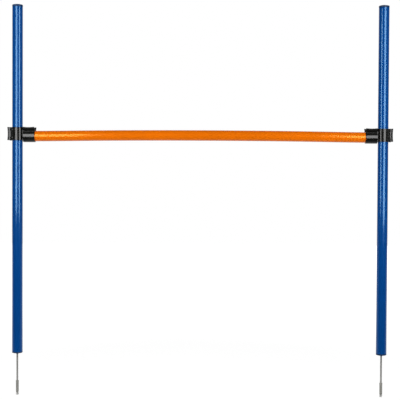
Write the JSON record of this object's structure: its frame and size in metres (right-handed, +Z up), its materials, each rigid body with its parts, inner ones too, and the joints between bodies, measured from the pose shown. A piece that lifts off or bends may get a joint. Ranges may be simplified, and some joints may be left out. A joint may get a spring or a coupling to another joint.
{
  "type": "dog agility hurdle",
  "caption": "Dog agility hurdle: round posts on ground spikes carry a round crossbar, held in sliding clips that set the height of the jump.",
  "frame": {"origin": "midway between the posts, level with the closed lower ends of the tip guards", "axes": "+Z up along the posts; +X along the crossbar, towards the right side of the picture; +Y the way a dog jumps, away from the camera"},
  "size_m": [1.2064, 0.04, 1.233],
  "materials": {
    "post_blue": "glossy extruded tube",
    "cap_navy": "satin moulding",
    "bar_orange": "glossy extruded tube",
    "clip_black": "glossy moulding",
    "spike_steel": "drawn rod with a ground point",
    "guard_grey": "soft translucent plastic"
  },
  "bodies": {
    "posts": {"left_post_tube": "post_blue", "right_post_tube": "post_blue", "left_top_cap": "cap_navy", "right_top_cap": "cap_navy", "left_foot_plug": "cap_navy", "right_foot_plug": "cap_navy", "left_ground_spike": "spike_steel", "right_ground_spike": "spike_steel"},
    "left_clip": {"left_clip": "clip_black"},
    "right_clip": {"right_clip": "clip_black"},
    "bar": {"bar_tube": "bar_orange", "left_bar_plug": "bar_orange", "right_bar_plug": "bar_orange"},
    "left_tip_guard": {"left_tip_guard": "guard_grey"},
    "right_tip_guard": {"right_tip_guard": "guard_grey"}
  },
  "joints": [
    {"name": "left_clip_height", "type": "slide", "parent": "posts", "child": "left_clip", "axis": [0, 0, 1], "range_m": [-0.66, 0.385]},
    {"name": "right_clip_height", "type": "slide", "parent": "posts", "child": "right_clip", "axis": [0, 0, 1], "range_m": [-0.66, 0.385]},
    {"name": "bar_lift", "type": "slide", "parent": "left_clip", "child": "bar", "axis": [0, 0, 1], "range_m": [0, 0.431]},
    {"name": "left_guard_pull", "type": "slide", "parent": "posts", "child": "left_tip_guard", "axis": [0, 0, -1], "range_m": [0, 0.05]},
    {"name": "right_guard_pull", "type": "slide", "parent": "posts", "child": "right_tip_guard", "axis": [0, 0, -1], "range_m": [0, 0.05]}
  ],
  "couplings": [
    {"joint": "right_clip_height", "follows": "left_clip_height", "ratio": 1}
  ]
}
